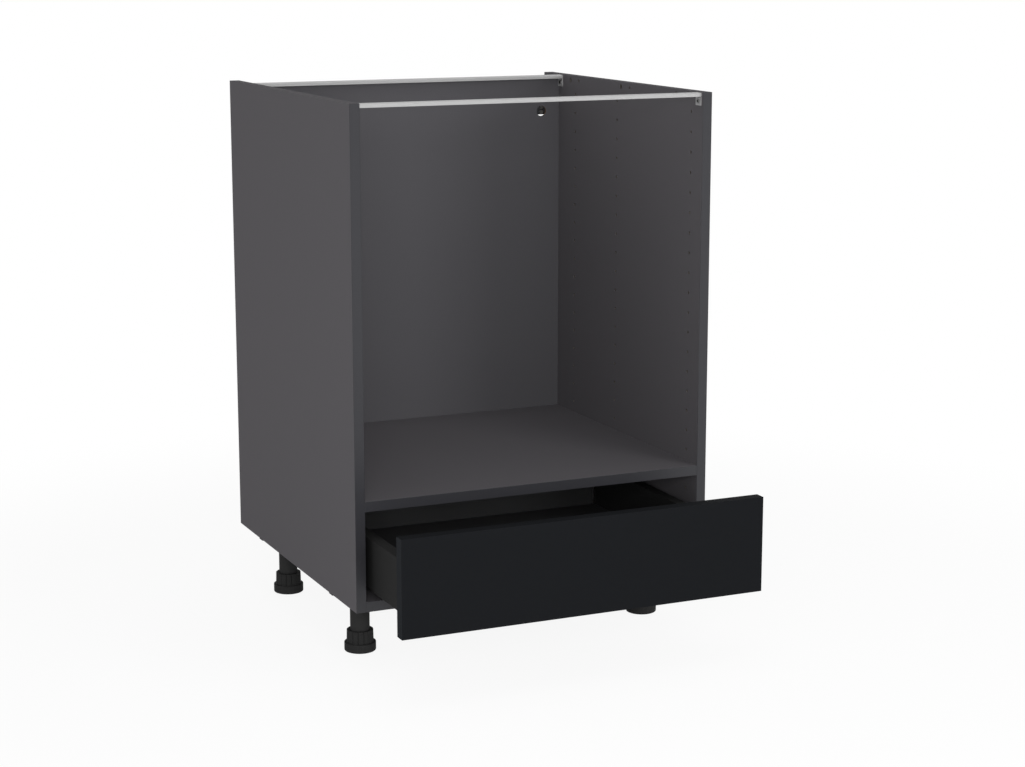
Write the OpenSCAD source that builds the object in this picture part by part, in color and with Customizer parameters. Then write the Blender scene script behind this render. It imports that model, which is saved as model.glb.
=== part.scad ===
// Base cabinet for a built-in oven: a board carcass on four adjustable feet,
// an open oven niche above and one steel-sided drawer below, on ball runners.
// Every piece is drawn where it lies with the drawer pulled part way out.
// Carcass frame: x from the middle, y from the sides' front edges towards the
// back, z from the sides' lower edges. standing() moves it onto the floor.

/* [Carcass] */
// Width over the side panels
carcass_w = 600; // [500:10:900]
// Depth of the side panels
carcass_d = 580; // [570:5:640]
// Height of the side panels, without the feet
carcass_h = 768; // [704:32:960]
// Thickness of the sides, the bottom and the oven shelf
board_t = 16; // [15:0.5:19]
// Thickness of the edge bands on the front edges
band_t = 0.8; // [0.4:0.1:2]
// Setback of the bottom and shelf from the sides' front edges
front_setback = 0; // [0:0.5:8]
// Height of the oven shelf's underside
shelf_z = 156.5; // [150:0.5:156.5]
// Thickness of the back panel
back_t = 3; // [2.5:0.5:8]
// Free depth behind the back panel, for pipes and cables
service_gap = 57; // [52:1:70]
// Depth of the groove that holds the back panel
groove_d = 7; // [4:0.5:9]
// Clearance of the back panel in its groove
groove_gap = 0.2; // [0.1:0.1:0.5]
// Distance from the back panel's top edge to the sides' top edges
back_drop = 2; // [1:0.5:4]
// Diameter of the two access holes in the back panel
access_d = 18; // [14:1:24]
// Distance from the side's outer face to an access hole's centre
access_x = 50; // [45:1:56]
// Distance from the sides' top edges to an access hole's centre
access_drop = 64; // [60:1:70]

/* [Drilling] */
// Diameter of the shelf-pin holes
pin_hole_d = 5; // [4:0.5:6]
// Distance between one shelf-pin hole and the next
hole_pitch = 32; // [32:1:40]
// Depth of the holes drilled in the sides' inner faces
hole_depth = 11; // [8:0.5:12]
// Distance from the top edge to the first shelf-pin hole
first_hole_drop = 32; // [32:1:48]
// Distance from the front edge to the first column of holes
column_front = 37; // [37:1:45]
// Distance from the front edge to the middle column of holes
column_mid = 293; // [285:1:300]
// Distance from the front edge to the rear column of holes
column_back = 453; // [447:1:460]
// Height of the runner screws' holes above the drawer floor's underside
runner_row_rise = 7; // [6.5:0.5:9]

/* [Panel fixings] */
// Dowel diameter
dowel_d = 8; // [6:1:8]
// Dowel length
dowel_l = 30; // [25:1:35]
// Diameter of a cam bolt's thread and of its hole in the side
bolt_thread_d = 5; // [4:0.5:6]
// Diameter of a cam bolt's shank
bolt_shank_d = 6; // [5:0.5:7]
// Diameter of a cam bolt's head
bolt_head_d = 7; // [6.5:0.5:7]
// Diameter of the round cam housing
cam_d = 15; // [12:1:20]
// Depth of the cam housing, from the underside of its panel
cam_h = 12.5; // [12:0.1:13.5]
// Distance from a panel's end to the middle of its cam
cam_reach = 34; // [24:1:40]
// Distance from the front edge to the first dowel
fixing_first = 88; // [80:1:96]
// Distance from the back edge to the last dowel
fixing_last = 108; // [98:1:117]
// Distance from a cam bolt to the dowel behind it
bolt_to_dowel = 32; // [24:1:36]
// Clearance round everything that plugs into a hole
plug_gap = 0.1; // [0.05:0.05:0.3]

/* [Rails] */
// Width of a rail
rail_w = 17; // [14:0.5:24]
// Height of a rail's lips
rail_h = 6; // [4:0.5:9]
// Sheet thickness of a rail
rail_t = 1; // [0.8:0.1:1.5]
// Outer radius of a rail's bends
rail_r = 2; // [1.6:0.1:3]
// Distance from the sides' top edges to the rails' top faces
rail_drop = 1; // [0.5:0.5:3]
// Height of the end tabs that are screwed to the sides
tab_h = 20; // [18:1:30]
// Distance from the front edges to the front rail
front_rail_y = 5; // [4.5:0.5:12]
// Diameter of the heads of the screws in the end tabs
rail_screw_head_d = 6.5; // [6:0.5:8]

/* [Feet] */
// Height from the floor to the carcass
leg_h = 100; // [95:1:120]
// Distance from a side's outer face to a leg's axis
leg_inset = 50; // [48:1:70]
// Distance from the first dowel back to the front legs' axes
leg_front_gap = 34; // [28:1:60]
// Distance from the last dowel back to the rear legs' axes
leg_rear_gap = 1.5; // [-4:0.5:15]
// Outer diameter of a leg tube
tube_d = 31; // [28:0.5:34]
// Wall of a leg tube
tube_t = 2; // [1.5:0.25:3]
// Thickness of the leg's mounting plate
plate_t = 3.5; // [3:0.5:5]
// Width of the plate's lug that carries the side panel
lug_w = 18; // [12:1:24]
// Diameter of a foot's base
foot_d = 50.2; // [47:0.2:60]
// Height of a foot's base
foot_base_h = 14.4; // [12:0.2:18]
// Height of a foot's fluted grip
grip_h = 20; // [16:0.5:26]
// Diameter of the grip at its lower end
grip_low_d = 42.8; // [42:0.1:45]
// Diameter of the grip at its upper end
grip_top_d = 41.9; // [41:0.1:42.5]
// Clearance between a foot and its tube
foot_gap = 0.3; // [0.2:0.05:0.5]
// Free height under a tube's end, for turning the foot in
foot_free = 5.5; // [5:0.5:8]

/* [Drawer] */
// How far the drawer stands open
drawer_open = 163; // [0:1:300]
// Gap between the closed drawer front and the carcass
closed_gap = 2; // [2:0.5:4]
// Height of the drawer front
front_h = 150; // [140:1:150]
// Thickness of the drawer front
front_t = 19; // [16:0.5:22]
// Height of the drawer front's lower edge
front_z = 12; // [2:1:12]
// Gap at each end of the drawer front to the outer face of the side
front_reveal = 1.5; // [1:0.5:4]
// Length of the drawer's steel sides
box_l = 490; // [485:1:495]
// Height of the drawer sides' top edge
side_top_z = 110.5; // [104:0.5:125]
// Width of a drawer side, over both walls
side_w = 18; // [18:0.5:20]
// Gap between a drawer side and the carcass
side_gap = 12; // [12:0.5:14]
// Sheet thickness of the drawer sides
side_t = 1; // [0.8:0.1:1.2]
// Height of the drawer floor's underside
floor_z = 25; // [24.5:0.5:28]
// Thickness of the drawer floor
floor_t = 16; // [12:0.5:16]
// Distance from the drawer back to the rear end of the sides
back_inset = 20; // [16:1:30]
// Gap between the drawer back and each drawer side
back_end_gap = 2; // [1:0.5:3]
// Sheet thickness of the drawer back
back_sheet_t = 1.2; // [1:0.1:2]

/* [Runners] */
// Sheet thickness of the runners
runner_t = 1.2; // [1:0.1:1.2]
// Length of the cabinet members
cabinet_member_l = 498; // [486:1:500]
// Length of the middle members
middle_member_l = 480; // [470:1:480]
// Length of the drawer members
drawer_member_l = 480; // [470:1:480]
// Length of the ball cages
cage_l = 240; // [220:1:240]
// Height over a cabinet member's channel
runner_h = 44; // [42:0.5:46]
// Height of the channels' middle
runner_mid_z = 56; // [54:0.5:58]
// Diameter of the balls
ball_d = 3.2; // [2.6:0.1:3.2]
// Gap between a ball and each lip that it runs on
ball_gap = 0.3; // [0.2:0.05:0.4]
// Number of balls in each row
balls = 6; // [3:1:8]

/* [Wall brackets] */
// Width of a bracket's housing
bracket_w = 44; // [42:1:50]
// Depth of a bracket's housing
bracket_d = 28; // [26:1:30]
// Height of a bracket's housing
bracket_h = 50; // [48:1:56]
// Distance from the sides' top edges to a bracket's lower face
bracket_drop = 71; // [69:0.5:75]
// Gap between the back panel and a bracket's housing
bracket_gap = 7; // [5:0.5:9]
// Thickness of a bracket's hook
hook_t = 2.5; // [2:0.25:4]

/* [Hidden] */
$fn = 64;
eps = 0.01;

// Carcass
inner_x = carcass_w / 2 - board_t;
back_y = carcass_d - service_gap - back_t;
shelf_mid_z = shelf_z + board_t / 2;
bottom_mid_z = board_t / 2;
spare_z = carcass_h - board_t / 2;
access_z = carcass_h - access_drop;
columns = [column_front, column_mid, column_back];
last_dowel_y = carcass_d - fixing_last;
dowel_ys = [fixing_first, (fixing_first + last_dowel_y) / 2, last_dowel_y];
bolt_ys = [for (y = dowel_ys) y - bolt_to_dowel];
front_y = -(closed_gap + drawer_open + front_t);
y_mid = (carcass_d + front_y) / 2;

// The lowest row takes the runner screws. Shelf-pin rows lie above the shelf,
// and below it where they clear its end.
runner_row = floor_z + runner_row_rise;
hole_rows = [
    for (z = [carcass_h - first_hole_drop : -hole_pitch : runner_row + hole_pitch / 2])
        if (z > shelf_z + board_t + pin_hole_d || z < shelf_z - pin_hole_d) z
];

// Rails
rail_top_z = carcass_h - rail_drop;
back_rail_y = back_y - rail_w;
tab_r = 1;
tab_screw_rise = 7;
tab_screw_z = rail_top_z - tab_h + tab_screw_rise;
rail_screw_d = 3.5;
rail_screw_l = 11;
rail_screw_head_h = 1.6;

// Fasteners
dowel_in_panel = dowel_l - hole_depth;
dowel_chamfer = 1;
end_gap = 0.5;
bolt_head_l = 2.5;
bolt_neck_l = 5;
bolt_neck_d = bolt_shank_d - 1.5;
cam_slot_w = 1.8;
cam_slot_h = 2;
back_screw_d = 3;
back_screw_l = 14;
back_screw_head_d = 6;
back_screw_head_h = 1.5;
back_screw_inset = 34;
back_screw_xs = [for (i = [-2:2]) i * (inner_x - back_screw_inset) / 2];

// Legs
leg_x = carcass_w / 2 - leg_inset;
leg_front_y = fixing_first + leg_front_gap;
leg_rear_y = last_dowel_y + leg_rear_gap;
plate_w = 62;
plate_r = 8;
lug_end_gap = 2;
spigot_h = 20;
spigot_wall = 2.5;
lug_r = 2;
leg_screw_r = 30.5;
leg_screw_d = 4;
leg_screw_l = 13;
leg_screw_head_d = 8;
leg_screw_head_h = 2.2;
foot_floor = 3;
tube_end_z = -leg_h + foot_floor + foot_free;
flutes = 12;
flute_r = 2;
flute_axis_r = grip_top_d / 2 + 1.3;
foot_chamfer = 1.2;

// Drawer, in its own frame: y from the back face of its front
side_low_z = floor_z + 3.5;
outer_u = side_gap;
inner_u = side_gap + side_w;
fold_w = 3;
flange_w = 16;
bead_h = 13.5;
bead_t = 0.5;
side_r = 0.5;
floor_top_z = floor_z + floor_t;
floor_half_w = inner_x - inner_u - plug_gap;
drawer_back_y = box_l - back_inset;
drawer_back_half_w = inner_x - inner_u - bead_t - back_end_gap;
back_corner_r = 6;
back_fold = 12;
front_bracket_l = 45;
front_bracket_z = runner_mid_z + runner_h / 2 + 3;
front_bracket_top = side_top_z - side_t - 1;
bracket_plate_t = 2;
front_screw_d = 4;
front_screw_l = 15;
front_screw_head_d = 8;
front_screw_head_h = 2.2;
front_screw_u = (outer_u + side_t + inner_u - side_t - bracket_plate_t) / 2;
front_screw_zs = [front_bracket_z + 6, front_bracket_top - 7];
floor_screw_d = 3.5;
floor_screw_l = 11;
floor_screw_head_d = 7;
floor_screw_head_h = 1.8;
floor_screw_x = inner_x - inner_u - flange_w / 2;
floor_screw_inset = 60;
floor_screw_ys = [floor_screw_inset, box_l / 2, box_l - floor_screw_inset];
floor_short = 4;
bracket_short = 2;
back_bracket_t = 1.5;
back_bracket_leg = 30;
bumper_d = 8;
bumper_inset = 15;
bumper_h = closed_gap - 0.3;

// Runners, with u measured from the carcass side's inner face
lip_z = runner_h / 2;
ball_space = ball_d + 2 * ball_gap;
middle_lip_z = lip_z - runner_t - ball_space;
drawer_lip_z = middle_lip_z - runner_t - ball_space;
plate_h = 18.5;
web_gap = 1.8;
web_z = side_low_z - web_gap - runner_t;
fold_gap = 1;
channel_u = side_gap + fold_w + fold_gap;
lip_w = 6.5;
cage_t = 0.6;
cage_gap = 0.3;
middle_u = channel_u + runner_t + cage_t + 2 * cage_gap;
middle_w = 7.6;
drawer_web_u = inner_u - side_t;
drawer_lip_w = 7.5;
outer_ball_u = channel_u + 4.8;
inner_ball_u = middle_u + 5.3;
cage_arm_t = 1;
ball_end = 12;
ball_pocket_gap = 0.1;
runner_setback = 5;
web_setback = 50;
middle_setback = 4;
cage_setback = 123;
drawer_member_setback = 5;
runner_screw_head_d = 9;
runner_screw_head_h = 2.5;

// Wall brackets
bracket_y = back_y + back_t + bracket_gap;
bracket_z = carcass_h - bracket_drop;
bracket_x = inner_x - bracket_w;
bracket_wall = 3;
hook_x = inner_x - 18;
hook_gap = 0.4;
adjuster_x = carcass_w / 2 - access_x + 4;
adjuster_zs = [access_z - 2.5, access_z + 6];
adjuster_d = 4;
adjuster_head_d = 7;
adjuster_head_h = 2.4;
bracket_r = 2;
bracket_pin_d = 10;
bracket_pin_y = bracket_y + bracket_d / 2;
bracket_pin_inset = 12;
bracket_pin_zs = [bracket_z + bracket_pin_inset, bracket_z + bracket_h - bracket_pin_inset];
hook_travel = 11;
hook_end_gap = 1.5;
hook_arm = 14;
hook_tooth = 5;
hook_mouth = 5;
hook_h = 20;
hook_mouth_h = 11;

dark_board = [0.33, 0.33, 0.34];
black_board = [0.12, 0.13, 0.14];
dark_steel = [0.2, 0.2, 0.2];
bright_zinc = [0.78, 0.78, 0.79];
black_plastic = [0.14, 0.14, 0.14];
beech = [0.76, 0.6, 0.42];

// Stands the carcass on the floor, with its overall box centred
module standing() translate([0, -y_mid, leg_h]) children();

// Draws a right-hand piece on the right, s = 1, or mirrored on the left, s = -1
module on_side(s) {
    if (s < 0) mirror([1, 0, 0]) children();
    else children();
}

// The drawer's own frame, at its opening: y from the back face of the front
module drawn_out() translate([0, -(closed_gap + drawer_open), 0]) children();

// A section in x and z, drawn out along y
module along_y(y0, y1) translate([0, y1, 0]) rotate([90, 0, 0]) linear_extrude(y1 - y0) children();

// A section in u and z, u measured inward from the right side's inner face
module from_side() translate([inner_x, 0]) mirror([1, 0]) children();

// A rectangle between two corners
module span(a, b) translate(a) square(b - a);

// A rectangle between two corners, with round corners
module round_span(a, b, r) {
    span(a + [r, 0], b - [r, 0]);
    span(a + [0, r], b - [0, r]);
    for (x = [a.x + r, b.x - r], y = [a.y + r, b.y - r]) translate([x, y]) circle(r);
}

// A block between two corners
module block(a, b) translate(a) cube(b - a);

// A round bar along +x, +y or +z from a point
module bar_x(p, d, l) translate(p) rotate([0, 90, 0]) cylinder(d = d, h = l);
module bar_y(p, d, l) translate(p) rotate([-90, 0, 0]) cylinder(d = d, h = l);
module bar_z(p, d, l) translate(p) cylinder(d = d, h = l);

// A screw along +z with its head below z = 0, and a cross recess in the head
module screw(shank_d, l, head_d, head_h) {
    recess = head_d * 0.55;
    difference() {
        union() {
            cylinder(d = shank_d, h = l);
            translate([0, 0, -head_h]) cylinder(d = head_d, h = head_h);
        }
        for (a = [0, 90]) rotate(a)
            translate([-recess / 2, -head_d * 0.06, -head_h - eps]) cube([recess, head_d * 0.12, head_h * 0.6]);
    }
}

// Side panels

module side_panel() {
    difference() {
        block([inner_x, band_t, 0], [carcass_w / 2, carcass_d, carcass_h]);
        for (y = columns, z = concat(hole_rows, [runner_row]))
            bar_x([inner_x - eps, y, z], pin_hole_d, hole_depth + eps);
        for (z = [bottom_mid_z, shelf_mid_z, spare_z]) {
            for (y = dowel_ys) bar_x([inner_x - eps, y, z], dowel_d, hole_depth + eps);
            for (y = bolt_ys) bar_x([inner_x - eps, y, z], bolt_thread_d, hole_depth + eps);
        }
        block(
            [inner_x - eps, back_y - groove_gap, -eps],
            [inner_x + groove_d, back_y + back_t + groove_gap, carcass_h + eps]
        );
        for (y = [front_rail_y, back_rail_y])
            bar_x([inner_x - eps, y + rail_w / 2, tab_screw_z], rail_screw_d + 2 * plug_gap, rail_screw_l + end_gap);
        for (z = bracket_pin_zs) bar_x([inner_x - eps, bracket_pin_y, z], bracket_pin_d, hole_depth);
    }
}
module left_side_panel() color(dark_board) standing() on_side(-1) side_panel();
module right_side_panel() color(dark_board) standing() side_panel();

module side_edge_band() block([inner_x, 0, 0], [carcass_w / 2, band_t, carcass_h]);
module left_side_edge_band() color(dark_board) standing() on_side(-1) side_edge_band();
module right_side_edge_band() color(dark_board) standing() side_edge_band();

// Bottom and oven shelf, which are the same panel at two heights

module cross_panel(z) {
    difference() {
        block([-inner_x, front_setback + band_t, z], [inner_x, back_y, z + board_t]);
        for (s = [-1, 1]) on_side(s) {
            for (y = dowel_ys)
                bar_x([inner_x - dowel_in_panel - end_gap, y, z + board_t / 2], dowel_d, dowel_l);
            for (y = bolt_ys) {
                bar_z([inner_x - cam_reach, y, z - eps], cam_d, cam_h + eps);
                bar_x([inner_x - cam_reach, y, z + board_t / 2], bolt_head_d + 2 * plug_gap, cam_reach + eps);
            }
        }
        for (x = back_screw_xs)
            bar_y([x, back_y - back_screw_l + back_t, z + board_t / 2], back_screw_d + 2 * plug_gap, back_screw_l);
    }
}

module bottom_panel() color(dark_board) standing() difference() {
    cross_panel(0);
    for (p = leg_places) translate([p.x, p.y, -eps])
        leg_screw_pattern() cylinder(d = leg_screw_d + 2 * plug_gap, h = leg_screw_l - plate_t + end_gap);
}
module oven_shelf() color(dark_board) standing() cross_panel(shelf_z);

module cross_edge_band(z)
    block([-inner_x, front_setback, z], [inner_x, front_setback + band_t, z + board_t]);
module bottom_edge_band() color(dark_board) standing() cross_edge_band(0);
module shelf_edge_band() color(dark_board) standing() cross_edge_band(shelf_z);

// Back panel, held in the sides' grooves and screwed to the bottom and shelf

module back_panel() color(dark_board) standing() {
    half_w = inner_x + groove_d - end_gap;
    difference() {
        block([-half_w, back_y, 0], [half_w, back_y + back_t, carcass_h - back_drop]);
        for (s = [-1, 1]) bar_y([s * (carcass_w / 2 - access_x), back_y - eps, access_z], access_d, back_t + 2 * eps);
        for (x = back_screw_xs, z = [bottom_mid_z, shelf_mid_z])
            bar_y([x, back_y - eps, z], back_screw_d + 2 * plug_gap, back_t + 2 * eps);
    }
}

module back_panel_screws() color(bright_zinc) standing()
    for (x = back_screw_xs, z = [bottom_mid_z, shelf_mid_z])
        translate([x, back_y + back_t, z]) rotate([90, 0, 0])
            screw(back_screw_d, back_screw_l - end_gap, back_screw_head_d, back_screw_head_h);

// Dowels, cams and cam bolts

module dowel() {
    c = dowel_chamfer;
    r = dowel_d / 2 - plug_gap;
    l = dowel_l - end_gap;
    rotate([0, 90, 0]) rotate_extrude() polygon([[0, 0], [r - c, 0], [r, c], [r, l - c], [r - c, l], [0, l]]);
}
module wooden_dowels() color(beech) standing()
    for (s = [-1, 1], y = dowel_ys, z = [bottom_mid_z, shelf_mid_z])
        on_side(s) translate([inner_x - dowel_in_panel, y, z]) dowel();

module cam_housing() {
    difference() {
        cylinder(d = cam_d - 2 * plug_gap, h = cam_h - end_gap);
        bar_x([-end_gap, 0, board_t / 2], bolt_head_d + 4 * plug_gap, cam_d);
        for (a = [45, 135]) rotate(a)
            translate([-cam_d / 4, -cam_slot_w / 2, -eps]) cube([cam_d / 2, cam_slot_w, cam_slot_h]);
    }
}
module cam_housings() color(bright_zinc) standing()
    for (s = [-1, 1], y = bolt_ys, z = [0, shelf_z])
        on_side(s) translate([inner_x - cam_reach, y, z]) cam_housing();

module cam_bolt() {
    shank_x = bolt_head_l + bolt_neck_l - cam_reach;
    bar_x([-cam_reach, 0, 0], bolt_head_d, bolt_head_l);
    bar_x([-cam_reach, 0, 0], bolt_neck_d, cam_reach);
    bar_x([shank_x, 0, 0], bolt_shank_d, -shank_x);
    bar_x([-eps, 0, 0], bolt_thread_d - 2 * plug_gap, hole_depth - end_gap);
}
module cam_bolts() color(bright_zinc) standing()
    for (s = [-1, 1], y = bolt_ys, z = [bottom_mid_z, shelf_mid_z])
        on_side(s) translate([inner_x, y, z]) cam_bolt();

// Rails: roll-formed channels, open below, with a tab bent down at each end

module rail_section() {
    difference() {
        round_span([0, -rail_h - 2 * rail_r], [rail_w, 0], rail_r);
        round_span([rail_t, -rail_h - 3 * rail_r], [rail_w - rail_t, -rail_t], rail_r - rail_t);
        span([-1, -rail_h - 4 * rail_r], [rail_w + 1, -rail_h]);
    }
}

module rail_tab()
    translate([inner_x - rail_t, 0, 0]) rotate([90, 0, 90]) linear_extrude(rail_t) difference() {
        union() {
            round_span([0, -tab_h], [rail_w, -rail_r], tab_r);
            span([0, -rail_h], [rail_w, -rail_r]);
        }
        translate([rail_w / 2, tab_screw_z - rail_top_z]) circle(d = rail_screw_d + 2 * plug_gap);
    }

module rail(y) translate([0, y, rail_top_z]) {
    translate([-inner_x, 0, 0]) rotate([90, 0, 90]) linear_extrude(2 * inner_x) rail_section();
    for (s = [-1, 1]) on_side(s) rail_tab();
}
module front_rail() color(bright_zinc) standing() rail(front_rail_y);
module back_rail() color(bright_zinc) standing() rail(back_rail_y);

module rail_screws() color(dark_steel) standing()
    for (s = [-1, 1], y = [front_rail_y, back_rail_y])
        on_side(s) translate([inner_x - rail_t, y + rail_w / 2, tab_screw_z]) rotate([0, 90, 0])
            screw(rail_screw_d, rail_screw_l, rail_screw_head_d, rail_screw_head_h);

// Legs: plate, tube and foot

leg_places = [
    for (y = [leg_front_y, leg_rear_y], s = [-1, 1]) [s * leg_x, y]
];

module leg_screw_pattern()
    for (a = [45 : 90 : 315]) rotate(a) translate([leg_screw_r, 0]) children();

module leg_plate() {
    spigot_d = tube_d - 2 * tube_t - 2 * foot_gap;
    lug_end = leg_inset - lug_end_gap;
    translate([0, 0, -plate_t]) linear_extrude(plate_t) difference() {
        union() {
            round_span([-plate_w / 2, -plate_w / 2], [leg_inset - board_t, plate_w / 2], plate_r);
            round_span([0, -lug_w / 2], [lug_end, lug_w / 2], lug_r);
        }
        leg_screw_pattern() circle(d = leg_screw_d + 2 * plug_gap);
    }
    translate([0, 0, -plate_t - spigot_h]) difference() {
        cylinder(d = spigot_d, h = spigot_h + eps);
        translate([0, 0, -eps]) cylinder(d = spigot_d - 2 * spigot_wall, h = spigot_h);
    }
}

module leg_tube() {
    h = -plate_t - tube_end_z;
    translate([0, 0, tube_end_z]) difference() {
        cylinder(d = tube_d, h = h);
        translate([0, 0, -eps]) cylinder(d = tube_d - 2 * tube_t, h = h + 2 * eps);
    }
}

module foot() {
    grip_z = -leg_h + foot_base_h;
    bore_d = tube_d + 2 * foot_gap;
    difference() {
        rotate_extrude() polygon([
            [0, -leg_h],
            [foot_d / 2 - foot_chamfer, -leg_h],
            [foot_d / 2, -leg_h + foot_chamfer],
            [foot_d / 2, grip_z - foot_chamfer],
            [foot_d / 2 - foot_chamfer, grip_z],
            [grip_low_d / 2, grip_z],
            [grip_top_d / 2, grip_z + grip_h],
            [0, grip_z + grip_h]
        ]);
        translate([0, 0, -leg_h + foot_floor]) cylinder(d = bore_d, h = leg_h);
        for (i = [0 : flutes - 1]) rotate(i * 360 / flutes)
            bar_z([flute_axis_r, 0, grip_z + foot_chamfer], 2 * flute_r, grip_h);
    }
}

module at_leg(p) translate([p.x, p.y, 0]) on_side(p.x) children();

module front_left_leg_plate() color(black_plastic) standing() at_leg(leg_places[0]) leg_plate();
module front_right_leg_plate() color(black_plastic) standing() at_leg(leg_places[1]) leg_plate();
module rear_left_leg_plate() color(black_plastic) standing() at_leg(leg_places[2]) leg_plate();
module rear_right_leg_plate() color(black_plastic) standing() at_leg(leg_places[3]) leg_plate();

module front_left_leg_tube() color(black_plastic) standing() at_leg(leg_places[0]) leg_tube();
module front_right_leg_tube() color(black_plastic) standing() at_leg(leg_places[1]) leg_tube();
module rear_left_leg_tube() color(black_plastic) standing() at_leg(leg_places[2]) leg_tube();
module rear_right_leg_tube() color(black_plastic) standing() at_leg(leg_places[3]) leg_tube();

module front_left_foot() color(black_plastic) standing() at_leg(leg_places[0]) foot();
module front_right_foot() color(black_plastic) standing() at_leg(leg_places[1]) foot();
module rear_left_foot() color(black_plastic) standing() at_leg(leg_places[2]) foot();
module rear_right_foot() color(black_plastic) standing() at_leg(leg_places[3]) foot();

module leg_screws() color(bright_zinc) standing()
    for (p = leg_places) translate([p.x, p.y, -plate_t]) leg_screw_pattern()
        screw(leg_screw_d, leg_screw_l, leg_screw_head_d, leg_screw_head_h);

// Wall brackets in the service gap, each with a hook that its screws move

module wall_bracket() {
    slot_half = hook_t / 2 + hook_gap;
    difference() {
        union() {
            along_y(bracket_y, bracket_y + bracket_d)
                round_span([bracket_x, bracket_z], [inner_x, bracket_z + bracket_h], bracket_r);
            for (z = bracket_pin_zs)
                bar_x([inner_x - 1, bracket_pin_y, z], bracket_pin_d - 2 * plug_gap, hole_depth + 1 - end_gap);
        }
        block(
            [hook_x - slot_half, bracket_y + bracket_wall, bracket_z + bracket_wall],
            [hook_x + slot_half, bracket_y + bracket_d + 1, bracket_z + bracket_h - bracket_wall]
        );
        for (z = adjuster_zs)
            bar_y([adjuster_x, bracket_y - eps, z], adjuster_d + 2 * plug_gap, bracket_d - bracket_wall);
    }
}
module left_wall_bracket() color(dark_steel) standing() on_side(-1) wall_bracket();
module right_wall_bracket() color(dark_steel) standing() wall_bracket();

module wall_hook() {
    y0 = bracket_y + bracket_wall + hook_travel + end_gap;
    y1 = carcass_d - hook_end_gap;
    z0 = bracket_z + bracket_wall + hook_gap;
    z1 = bracket_z + bracket_h - bracket_wall - hook_gap;
    arm_y = y1 - hook_arm;
    mouth_y = y1 - hook_tooth - hook_mouth;
    translate([hook_x - hook_t / 2, 0, 0]) rotate([90, 0, 90]) linear_extrude(hook_t) difference() {
        polygon([[y0, z0], [arm_y, z0], [arm_y, z1 - hook_h], [y1, z1 - hook_h], [y1, z1], [y0, z1]]);
        span([mouth_y, z1 - hook_h - 1], [mouth_y + hook_mouth, z1 - hook_mouth_h]);
    }
}
module left_wall_hook() color(bright_zinc) standing() on_side(-1) wall_hook();
module right_wall_hook() color(bright_zinc) standing() wall_hook();

module bracket_adjusting_screws() color(bright_zinc) standing()
    for (s = [-1, 1], z = adjuster_zs) on_side(s) translate([adjuster_x, bracket_y, z]) rotate([-90, 0, 0])
        screw(adjuster_d, bracket_d - bracket_wall - 1, adjuster_head_d, adjuster_head_h);

// Drawer

module drawer_front() color(black_board) standing() drawn_out() difference() {
    hole_l = front_screw_l - bracket_plate_t + end_gap;
    block(
        [-carcass_w / 2 + front_reveal, -front_t, front_z],
        [carcass_w / 2 - front_reveal, 0, front_z + front_h]
    );
    for (s = [-1, 1], z = front_screw_zs)
        bar_y([s * (inner_x - front_screw_u), -hole_l, z], front_screw_d + 2 * plug_gap, hole_l + eps);
}

// Two walls and a rounded top in one sheet, a fold below the outer wall, and a
// flange below the inner wall that carries the floor
module drawer_side() difference() {
    along_y(0, box_l) from_side() {
        difference() {
            round_span([outer_u, side_low_z], [inner_u, side_top_z], side_t + side_r);
            round_span([outer_u + side_t, side_low_z + side_t], [inner_u - side_t, side_top_z - side_t], side_r);
            span([outer_u + fold_w, side_low_z - 1], [inner_u - side_t, side_low_z + side_t + 1]);
        }
        span([inner_u - side_t, floor_z - side_t], [inner_u, floor_top_z]);
        span([inner_u - side_t, floor_z - side_t], [inner_u + flange_w, floor_z]);
        round_span([inner_u - side_t, side_top_z - bead_h], [inner_u + bead_t, side_top_z], side_r);
    }
    for (y = floor_screw_ys)
        bar_z([floor_screw_x, y, floor_z - side_t - 1], floor_screw_d + 2 * plug_gap, side_t + 2);
}
module drawer_left_side() color(dark_steel) standing() drawn_out() on_side(-1) drawer_side();
module drawer_right_side() color(dark_steel) standing() drawn_out() drawer_side();

module drawer_floor() color(dark_steel) standing() drawn_out()
    difference() {
        block([-floor_half_w, 0, floor_z], [floor_half_w, box_l - floor_short, floor_top_z]);
        for (s = [-1, 1], y = floor_screw_ys)
            bar_z([s * floor_screw_x, y, floor_z - eps], floor_screw_d + 2 * plug_gap, floor_screw_l);
    }

module drawer_back() color(dark_steel) standing() drawn_out() {
    along_y(drawer_back_y, drawer_back_y + back_sheet_t) {
        round_span([-drawer_back_half_w, floor_top_z], [drawer_back_half_w, side_top_z], back_corner_r);
        span(
            [-drawer_back_half_w, floor_top_z + back_corner_r],
            [drawer_back_half_w, side_top_z]
        );
    }
    block(
        [-drawer_back_half_w, drawer_back_y, side_top_z - back_sheet_t],
        [drawer_back_half_w, drawer_back_y + back_fold, side_top_z]
    );
}

// Screwed to the front panel inside the hollow of a drawer side
module front_bracket() {
    u0 = outer_u + side_t + plug_gap;
    u1 = inner_u - side_t;
    translate([inner_x, 0, 0]) mirror([1, 0, 0]) difference() {
        union() {
            block([u0, 0, front_bracket_z], [u1, bracket_plate_t, front_bracket_top]);
            block([u1 - bracket_plate_t, 0, front_bracket_z], [u1, front_bracket_l, front_bracket_top]);
        }
        for (z = front_screw_zs)
            bar_y([front_screw_u, -eps, z], front_screw_d + 2 * plug_gap, bracket_plate_t + 2 * eps);
    }
}
module left_front_bracket() color(bright_zinc) standing() drawn_out() on_side(-1) front_bracket();
module right_front_bracket() color(bright_zinc) standing() drawn_out() front_bracket();

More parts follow.
